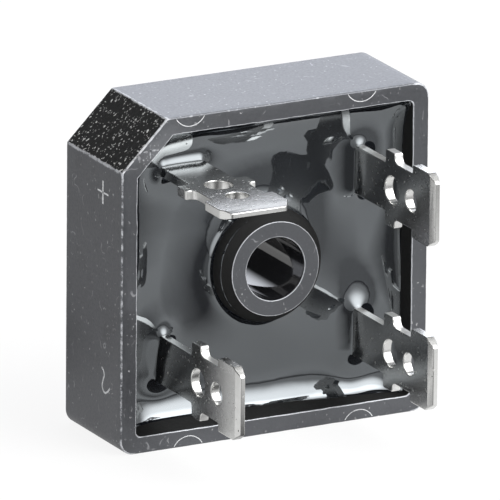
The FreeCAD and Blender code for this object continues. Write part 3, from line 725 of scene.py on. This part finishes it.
def build_case():
    bm = bmesh.new()
    wear_layer = bm.verts.layers.float.new("wear")
    rings = []
    skins = []
    for ring, y, wear, tag, skin in case_stations():
        verts = []
        for x, z, kind, k in ring:
            spot, worn = worn_point(x, y, z, kind, k, tag, wear)
            vert = bm.verts.new(spot)
            vert[wear_layer] = worn
            verts.append(vert)
        rings.append(verts)
        skins.append((skin, tag in ("outer", "lip")))
    on_chamfer = [kind == "side" and k == CHAMFER_SIDE for x, z, kind, k in REFERENCE]
    count = len(REFERENCE)
    for s in range(len(rings)):
        n = (s + 1) % len(rings)
        a, b = rings[s], rings[n]
        low, high = sorted((skins[s][0], skins[n][0]))
        outside = skins[s][1] and skins[n][1]
        for i in range(count):
            j = (i + 1) % count
            face = bm.faces.new((a[i], a[j], b[j], b[i]))
            if outside and (on_chamfer[i] or on_chamfer[j]):
                face.material_index = CHAMFER_SLOT
            elif low == MATT:
                face.material_index = SIDE_SLOT
            elif low > GRAINED:
                face.material_index = INNER_SLOT
            else:
                face.material_index = CASE_SLOT
    bmesh.ops.recalc_face_normals(bm, faces=bm.faces)
    add_marks(bm, wear_layer)
    obj = to_object("case", bm, [CASE, INNER, CHAMFER, SIDE, MARK], 50.0)
    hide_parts("case_shell")
    return obj


# Compound

# Depths are measured back from the rim. Pairs give a value for each place along a wall.
LEVEL = 2.95
TILT_X, TILT_Z = -0.005, 0.01
LEAST_DEPTH = 0.35
# Round hollows: x, z, radius and depth. The trough lies along the lower wall.
DIPS = ((-9.5, -7.5, 3.2, 0.60), (-8.5, 9.5, 3.4, 0.25), (9.5, 0.0, 3.6, 0.30))
TROUGH = ((-10.0, 1.90), (2.0, 1.35), (10.0, 0.30))
TROUGH_PLACE, TROUGH_WIDTH = 12.0, 5.0
# The wide swell round the boss, and the collar drawn up there, higher on the left.
HILL, HILL_START, HILL_REACH, HILL_POWER = 0.40, 4.9, 4.5, 1.3
BOSS_RADIUS, BOSS_CONTACT = 4.72, 0.75
COLLAR, COLLAR_LEFT, COLLAR_RIGHT, LEAST_COLLAR = 0.45, 0.35, 0.25, 0.2
COLLAR_REACH, COLLAR_EDGE = 0.75, 0.10
# Where it touches the walls, and how far from them it starts to climb.
CONTACT_RIGHT, REACH_RIGHT = 1.8, 1.1
CONTACT_LEFT, REACH_LEFT = ((-6.0, 2.8), (1.0, 1.3)), 1.7
CONTACT_TOP, REACH_TOP = 0.9, 1.5
CONTACT_CUT, REACH_CUT = 2.95, 1.0
CONTACT_BOTTOM = ((-10.0, 3.15), (0.5, 2.9), (8.0, 2.05), (10.0, 1.8))
REACH_BOTTOM = ((-10.0, 1.9), (2.0, 1.9), (10.0, 0.9))
LEAST_CLIMB, EDGE_SHARE, EDGE_REACH = 0.3, 0.1, 0.12
# Mounds at the tabs: height and reach, round a strip of this half width and thickness.
MOUNDS = {
    "plus": (0.85, 1.00),
    "ac_upper": (0.80, 1.20),
    "ac_lower": (1.00, 1.10),
    "minus": (0.80, 1.20),
}
MOUND_HALF, MOUND_THICK = 1.58, 0.5
# Waves of the surface: height, frequency and place in the noise.
WAVES = ((0.03, 0.16, 2.0), (0.006, 0.45, 7.0), (0.0012, 2.0, 4.0))
TURNS, STEPS = 640, 104
CROWDING = 0.10  # how much its rings crowd at the boss and at the walls
INNER_GAP, OUTER_GAP = 0.32, 0.05  # how far its mesh runs into the boss and the walls
BED = FLOOR + 0.02


def between(pairs, value):
    """Smooth curve through pairs of place and value, flat past its ends."""
    if value <= pairs[0][0]:
        return pairs[0][1]
    for (a, p), (b, q) in zip(pairs, pairs[1:]):
        if value <= b:
            t = (value - a) / (b - a)
            t = t * t * (3 - 2 * t)
            return p + (q - p) * t
    return pairs[-1][1]


def fade(away, reach):
    """Falls off from one with the distance from an edge."""
    return math.exp(-max(away, 0.0) / reach)


def compound_depth(x, z):
    """Depth of the cast surface below the rim: it climbs the walls, the boss and the tabs."""
    from_axis = math.hypot(x, z)
    level = LEVEL + TILT_X * x + TILT_Z * z
    for dx, dz, reach, deep in DIPS:
        level += deep * math.exp(-(((x - dx) ** 2 + (z - dz) ** 2) / reach ** 2))
    level += between(TROUGH, x) * math.exp(-(((z + TROUGH_PLACE) / TROUGH_WIDTH) ** 2))
    part = min(max((from_axis - HILL_START) / HILL_REACH, 0.0), 1.0)
    rise = HILL * (1 - part) ** HILL_POWER
    leftward = 0.5 - 0.5 * x / max(from_axis, 1.0)
    middle = COLLAR + COLLAR_LEFT * leftward
    steep = level - HILL - middle - BOSS_CONTACT - COLLAR_RIGHT * (1 - leftward)
    steep = max(steep, LEAST_COLLAR)
    away = from_axis - BOSS_RADIUS
    rise += middle * fade(away, COLLAR_REACH) + steep * fade(away, COLLAR_EDGE)
    slant = ((CAVITY + CAVITY_CUT) - (z - x)) / math.sqrt(2)
    for away, contact, reach in (
        (CAVITY - x, CONTACT_RIGHT, REACH_RIGHT),
        (CAVITY + x, between(CONTACT_LEFT, z), REACH_LEFT),
        (CAVITY - z, CONTACT_TOP, REACH_TOP),
        (CAVITY + z, between(CONTACT_BOTTOM, x), between(REACH_BOTTOM, x)),
        (slant, CONTACT_CUT, REACH_CUT),
    ):
        climb = max(level - contact, LEAST_CLIMB)
        rise += (1 - EDGE_SHARE) * climb * fade(away, reach)
        rise += EDGE_SHARE * climb * fade(away, EDGE_REACH)
    for name, tx, tz, side, face in TABS:
        tall, wide = MOUNDS[name]
        u = abs((x - tx) * side[0] + (z - tz) * side[2])
        w = abs((x - tx) * face[0] + (z - tz) * face[2])
        away = math.hypot(max(u - MOUND_HALF, 0.0), w) - MOUND_THICK
        rise += tall * fade(away, wide)
    waves = 0.0
    for height, pace, place in WAVES:
        waves += height * noise.noise(Vector((x * pace, place, z * pace)))
    return max(level - rise + waves, LEAST_DEPTH)


def build_compound():
    """Closed body on spokes from the boss to the walls."""
    bm = bmesh.new()
    inner = BOSS_RADIUS - INNER_GAP
    half = CAVITY + OUTER_GAP
    slant = (CAVITY + CAVITY_CUT) / math.sqrt(2) + OUTER_GAP
    columns = []
    for i in range(TURNS):
        angle = 2 * math.pi * i / TURNS
        c, s = math.cos(angle), math.sin(angle)
        reach = half / max(abs(c), abs(s))
        toward = (s - c) / math.sqrt(2)
        if toward > 0:
            reach = min(reach, slant / toward)
        column = []
        for k in range(STEPS + 1):
            t = k / STEPS
            ease = t - CROWDING * math.sin(2 * math.pi * t)
            r = inner + (reach - inner) * ease
            x, z = r * c, r * s
            y = -(DEPTH - compound_depth(x, z))
            column.append(bm.verts.new((x * MM, y * MM, z * MM)))
        for r in (reach, inner):
            column.append(bm.verts.new((r * c * MM, -BED * MM, r * s * MM)))
        columns.append(column)
    for i in range(TURNS):
        a, b = columns[i], columns[(i + 1) % TURNS]
        for k in range(len(a)):
            m = (k + 1) % len(a)
            bm.faces.new((a[k], a[m], b[m], b[k]))
    bmesh.ops.recalc_face_normals(bm, faces=bm.faces)
    obj = to_object("compound", bm, [COMPOUND], 60.0, False)
    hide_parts("potting_compound")
    return obj


# Terminals

# Heights over the mounting face, and half widths of the strip.
TIP, HEAD_BACK, EAR_FRONT, EAR_BACK = 21.6, 17.92, 14.87, 13.22
HEAD, NECK, EAR, BLADE = 3.175, 2.425, 3.25, 2.08
TIP_CUT, TIP_NARROW = 1.05, 0.65
BEVEL, BEVEL_SHARE = 0.65, 0.5  # coined tip: its length, and how much of the thickness goes
HOLES = ((17.68, 1.0), (14.39, 1.25))  # height and radius
HOLE_GAP = 0.05
HOLE_POINTS = 48
STRIP = 0.8  # thickness
STRIP_EDGE = 0.09  # radius of its edges
BEND_START, BEND_RADIUS, FOOT_FLAT = 4.25, 0.8, 1.8
BEND_LENGTH = BEND_RADIUS * math.pi / 2
BEND_STEPS = 6
SHEARED_OUT = 1.6  # side faces further out than this are sheared metal
SHEARED_EAR = 0.3
SHEARED_SLOT = 1
WELD, NEAR = 0.000002, 0.0000005  # tolerances of the mesh steps, in metres


def strip_mesh():
    """Flat strip with its holes and rounded edges, from a filled curve."""
    end = BEND_START - BEND_LENGTH - FOOT_FLAT
    # right side of the outline: half width, height and corner radius
    right = (
        (BLADE, end, 0.2),
        (BLADE, EAR_BACK, 0.25),
        (EAR, EAR_BACK, 0.18),
        (EAR, EAR_FRONT, 0.25),
        (NECK, EAR_FRONT, 0.5),
        (NECK, HEAD_BACK, 0.2),
        (HEAD, HEAD_BACK, 0.22),
        (HEAD, TIP - TIP_CUT, 0.35),
        (HEAD - TIP_NARROW, TIP, 0.3),
    )
    path = list(right) + [(-a, b, r) for a, b, r in reversed(right)]
    corners = [(a, b) for a, b, r in path]
    radii = [r for a, b, r in path]
    curve = bpy.data.curves.new("strip", "CURVE")
    curve.dimensions = "2D"
    curve.fill_mode = "BOTH"
    curve.extrude = (STRIP / 2 - STRIP_EDGE) * MM
    curve.bevel_depth = STRIP_EDGE * MM
    curve.bevel_resolution = 3
    curve.offset = -STRIP_EDGE * MM

    def ring(points):
        spline = curve.splines.new("POLY")
        spline.points.add(len(points) - 1)
        for item, point in zip(spline.points, points):
            item.co = (point[0] * MM, point[1] * MM, 0.0, 1.0)
        spline.use_cyclic_u = True

    ring([point for point, kind, k in fillet_path(corners, radii, [0] * len(path), 6)])
    for middle, radius in HOLES:
        r = radius - HOLE_GAP
        turn = [2 * math.pi * i / HOLE_POINTS for i in range(HOLE_POINTS)]
        ring([(r * math.cos(a), middle + r * math.sin(a)) for a in turn])
    holder = bpy.data.objects.new("strip", curve)
    scene.collection.objects.link(holder)
    bpy.context.view_layer.update()
    ready = holder.evaluated_get(bpy.context.evaluated_depsgraph_get())
    mesh = bpy.data.meshes.new_from_object(ready)
    bpy.data.objects.remove(holder)
    return mesh


STRIP_MESH = strip_mesh()


def shaped(u, v, w):
    """Place of a flat strip's point once the tip is coined and the foot is bent."""
    t = (v - (TIP - BEVEL)) / BEVEL
    if t > 0:
        w *= 1.0 - BEVEL_SHARE * min(t, 1.0)
    s = BEND_START - v
    if s > 0:
        radius = BEND_RADIUS - w
        if s < BEND_LENGTH:
            angle = s / BEND_RADIUS
            v = BEND_START - radius * math.sin(angle)
            w = BEND_RADIUS - radius * math.cos(angle)
        else:
            v = BEND_START - radius
            w = BEND_RADIUS + (s - BEND_LENGTH)
    return u, v, w


def build_terminal(name, tx, tz, side, face_way):
    bm = bmesh.new()
    bm.from_mesh(STRIP_MESH)
    bmesh.ops.remove_doubles(bm, verts=bm.verts, dist=WELD)
    cuts = [TIP - BEVEL, TIP - BEVEL / 2, BEND_START]
    cuts += [BEND_START - BEND_LENGTH * k / BEND_STEPS for k in range(1, BEND_STEPS + 1)]
    for level in cuts:
        every = bm.verts[:] + bm.edges[:] + bm.faces[:]
        bmesh.ops.bisect_plane(
            bm, geom=every, plane_co=(0, level * MM, 0), plane_no=(0, 1, 0), dist=NEAR
        )
    bm.normal_update()
    start = BEND_START if tx > 0 else EAR_FRONT - SHEARED_EAR
    for face in bm.faces:
        middle = face.calc_center_median() / MM
        upright = abs(middle.x) > SHEARED_OUT and abs(face.normal.z) < 0.5
        if upright and start < middle.y < HEAD_BACK + 0.1:
            face.material_index = SHEARED_SLOT
    ahead = Vector((0, -1, 0))
    side, face_way = Vector(side), Vector(face_way)
    for vert in bm.verts:
        u, v, w = shaped(*(c / MM for c in vert.co))
        place = side * u + ahead * v + face_way * w
        vert.co = (place + Vector((tx, 0, tz))) * MM
    bmesh.ops.recalc_face_normals(bm, faces=bm.faces)
    obj = to_object("tab_" + name, bm, [TIN, SHEARED], 8.0, False)
    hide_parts("terminal_" + name)
    return obj


build_case()
build_compound()
for entry in TABS:
    build_terminal(*entry)

# Carried-over nodes

# The first of these words that a node's name holds gives its material.
CARRIED = (
    ("base_plate", BACK),
    ("bond_sheet", FILM),
    ("diode_die", SILICON),
    ("joint", SOLDER),
    ("clip", COPPER),
    ("_plate", COPPER),
)
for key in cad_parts:
    item = bpy.data.objects.get(key)
    choices = [material for word, material in CARRIED if word in key]
    if choices and item is not None and item.type == "MESH":
        for slot in item.material_slots:
            slot.material = choices[0]


# Floor

# Sizes and places in metres.
GROUND_REACH = 12.0
GROUND_HEIGHT = -HALF * MM
GROUND_TONE = 0.86
# Shares of the floor's own light, by the kind of ray.
GLOW = (("Is Camera Ray", 0.88), ("Is Glossy Ray", 0.8), ("Is Transmission Ray", 0.88))
MIRRORED_WHITE = 0.98
# Direction across the dark wedge, a painted dark reflection on the floor, how far its line is off
# the axis, and the part's front.
WEDGE_ACROSS, WEDGE_SHIFT = (0.883, -0.469, 0.0), 0.00375
FRONT = 0.008
# Painted shadow of the part: a dark round patch on the floor that the hole's wall mirrors.
PAINTED_SHADOW_PATCH = (-0.009, 0.026, GROUND_HEIGHT)


def product(tree, *factors):
    """Product of several values."""
    result = factors[0]
    for factor in factors[1:]:
        result = math_node(tree, "MULTIPLY", result, factor)
    return result


def rest_of(tree, value):
    """One less a value."""
    return math_node(tree, "SUBTRACT", 1.0, value)


def painted_floor_shade(tree, place):
    """Brightness of the floor where the part mirrors it: pale, with painted shade, a painted
    shadow and a painted dark reflection on it.
    """
    apart = node(tree, "SeparateXYZ")
    link(tree, place, apart.inputs[0])
    x, y = apart.outputs["X"], apart.outputs["Y"]
    # painted shade on the ground behind the part and to its left, deeper further back
    behind = ramp(tree, y, -0.014, -0.004)
    left = ramp(tree, x, -0.020, -0.010, 1.0, 0.0)
    far = ramp(tree, y, 0.010, 0.060, 0.20, 0.38)
    bright = math_node(tree, "SUBTRACT", MIRRORED_WHITE, product(tree, behind, left, far))
    # the painted dark reflection in front: a wedge, by its angle from the part
    across = node(tree, "VectorMath", operation="DOT_PRODUCT")
    link(tree, place, across.inputs[0])
    across.inputs[1].default_value = WEDGE_ACROSS
    across = math_node(tree, "SUBTRACT", across.outputs["Value"], WEDGE_SHIFT)
    front = math_node(tree, "MULTIPLY", math_node(tree, "ADD", y, FRONT), -1.0)
    front = math_node(tree, "MAXIMUM", front, 0.0005)
    sideways = math_node(tree, "DIVIDE", across, front)
    wedge = product(
        tree,
        ramp(tree, sideways, 0.34, 0.85, 0.87, 0.0),
        ramp(tree, sideways, -0.16, 0.02, 0.72, 1.0),
        ramp(tree, sideways, -0.95, -0.65),
        ramp(tree, front, 0.004, 0.012),
    )
    # the painted shadow patch
    spot = node(tree, "VectorMath", operation="DISTANCE")
    link(tree, place, spot.inputs[0])
    spot.inputs[1].default_value = PAINTED_SHADOW_PATCH
    shade = ramp(tree, spot.outputs["Value"], 0.014, 0.019, 0.93, 0.0)
    # painted shade in all: the parts above, and the floor darker far to the right and close in
    # front of the part
    return product(
        tree,
        bright,
        rest_of(tree, wedge),
        ramp(tree, x, 0.022, 0.048, 1.0, 0.42),
        ramp(tree, front, 0.012, 0.042, 0.90, 1.0),
        rest_of(tree, shade),
    )


def floor_material():
    mat = bpy.data.materials.new("pale_floor")
    mat.use_nodes = True
    tree = mat.node_tree
    tree.nodes.clear()
    out = node(tree, "OutputMaterial")
    matt = node(tree, "BsdfDiffuse")
    glow = node(tree, "Emission")
    glow.inputs["Strength"].default_value = 1.0
    path = node(tree, "LightPath")
    glossy = path.outputs["Is Glossy Ray"]
    # glossy rays see the painted shade, shadow and dark reflection in the floor's colour and
    # glow; the camera sees the floor plain and pale
    bright = painted_floor_shade(tree, object_coords(tree))
    grey = mix_color(tree, bright, (0.0, 0.0, 0.0), (1.0, 1.0, 1.0))
    grey = mix_color(tree, glossy, (GROUND_TONE, GROUND_TONE, GROUND_TONE), grey)
    link(tree, grey, matt.inputs["Color"])
    link(tree, mix_color(tree, glossy, (1.0, 1.0, 1.0), grey), glow.inputs["Color"])
    share = None
    for ray, amount in GLOW:
        part = math_node(tree, "MULTIPLY", path.outputs[ray], amount)
        share = part if share is None else math_node(tree, "MAXIMUM", share, part)
    mix = node(tree, "MixShader")
    link(tree, share, mix.inputs[0])
    link(tree, matt.outputs[0], mix.inputs[1])
    link(tree, glow.outputs[0], mix.inputs[2])
    link(tree, mix.outputs[0], out.inputs["Surface"])
    return mat


def build_floor():
    mesh = bpy.data.meshes.new("floor")
    a, low = GROUND_REACH, GROUND_HEIGHT
    mesh.from_pydata([(-a, -a, low), (a, -a, low), (a, a, low), (-a, a, low)], [], [(0, 1, 2, 3)])
    mesh.materials.append(floor_material())
    floor = bpy.data.objects.new("floor", mesh)
    scene.collection.objects.link(floor)


# Light

# Soft lights of the world: direction, edge and core as cosines, and brightness.
# One has a negative brightness and darkens.
SOFT_BOXES = (
    ((0.43, -0.68, 0.60), 0.83, 0.99, 5.0),
    ((0.45, -0.36, 0.82), 0.87, 0.98, 4.0),
    ((0.46, 0.83, 0.32), 0.80, 0.97, 2.0),
    ((-0.40, 0.84, 0.25), 0.72, 0.93, -0.75),
    ((-0.744, -0.535, 0.391), 0.88, 0.985, 2.2),
)
DARKEST = 0.03
COOL = (0.85, 0.88, 0.95)


def soft_ramp(tree, value, low, high, start, end):
    item = node(tree, "MapRange", interpolation_type="SMOOTHSTEP")
    item.inputs["From Min"].default_value = low
    item.inputs["From Max"].default_value = high
    item.inputs["To Min"].default_value = start
    item.inputs["To Max"].default_value = end
    link(tree, value, item.inputs["Value"])
    return item.outputs["Result"]


def build_world():
    """White for the camera; for the part a studio that is darker left, low and overhead."""
    world = bpy.data.worlds.new("studio")
    scene.world = world
    world.use_nodes = True
    tree = world.node_tree
    tree.nodes.clear()
    out = node(tree, "OutputWorld")
    back = node(tree, "Background")
    seen = node(tree, "LightPath").outputs["Is Camera Ray"]
    way = node(tree, "TexCoord").outputs["Generated"]
    apart = node(tree, "SeparateXYZ")
    link(tree, way, apart.inputs[0])
    light = product(
        tree,
        soft_ramp(tree, apart.outputs["X"], -0.75, 0.2, 0.30, 0.85),
        soft_ramp(tree, apart.outputs["Z"], 0.0, 0.06, 0.12, 1.0),
        soft_ramp(tree, apart.outputs["Z"], 0.55, 0.85, 1.0, 0.15),
    )
    for direction, low, high, power in SOFT_BOXES:
        toward = node(tree, "VectorMath", operation="DOT_PRODUCT")
        link(tree, way, toward.inputs[0])
        toward.inputs[1].default_value = Vector(direction).normalized()
        box = soft_ramp(tree, toward.outputs["Value"], low, high, 0.0, power)
        light = math_node(tree, "ADD", light, box)
    light = math_node(tree, "MAXIMUM", light, DARKEST)
    light = math_node(tree, "ADD", product(tree, light, rest_of(tree, seen)), seen)
    link(tree, light, back.inputs["Strength"])
    cool = soft_ramp(tree, apart.outputs["Y"], 0.1, 0.6, 0.0, 1.0)
    cool = product(tree, cool, rest_of(tree, seen))
    link(tree, mix_color(tree, cool, (1.0, 1.0, 1.0), COOL), back.inputs["Color"])
    link(tree, back.outputs[0], out.inputs["Surface"])


# Camera

# Solved from the edges of the case. The place is in metres, lens and film in millimetres.
LENS, FILM_WIDTH = 1079.0, 36.0
CAMERA_PLACE = (-0.554628, -1.054969, 0.371796)
CAMERA_RIGHT = (0.885299, -0.464946, 0.008414)
CAMERA_AHEAD = (0.445965, 0.843752, -0.298660)


def build_camera():
    data = bpy.data.cameras.new("camera")
    data.sensor_width = FILM_WIDTH
    data.lens = LENS
    data.clip_start = 0.05
    data.clip_end = 60.0
    camera = bpy.data.objects.new("camera", data)
    scene.collection.objects.link(camera)
    ahead = Vector(CAMERA_AHEAD).normalized()
    upward = Vector(CAMERA_RIGHT).cross(ahead).normalized()
    right = ahead.cross(upward).normalized()
    turn = Matrix((right, upward, -ahead)).transposed().to_4x4()
    camera.matrix_world = Matrix.Translation(CAMERA_PLACE) @ turn
    scene.camera = camera


build_floor()
build_world()
build_camera()
scene.view_settings.view_transform = "Standard"
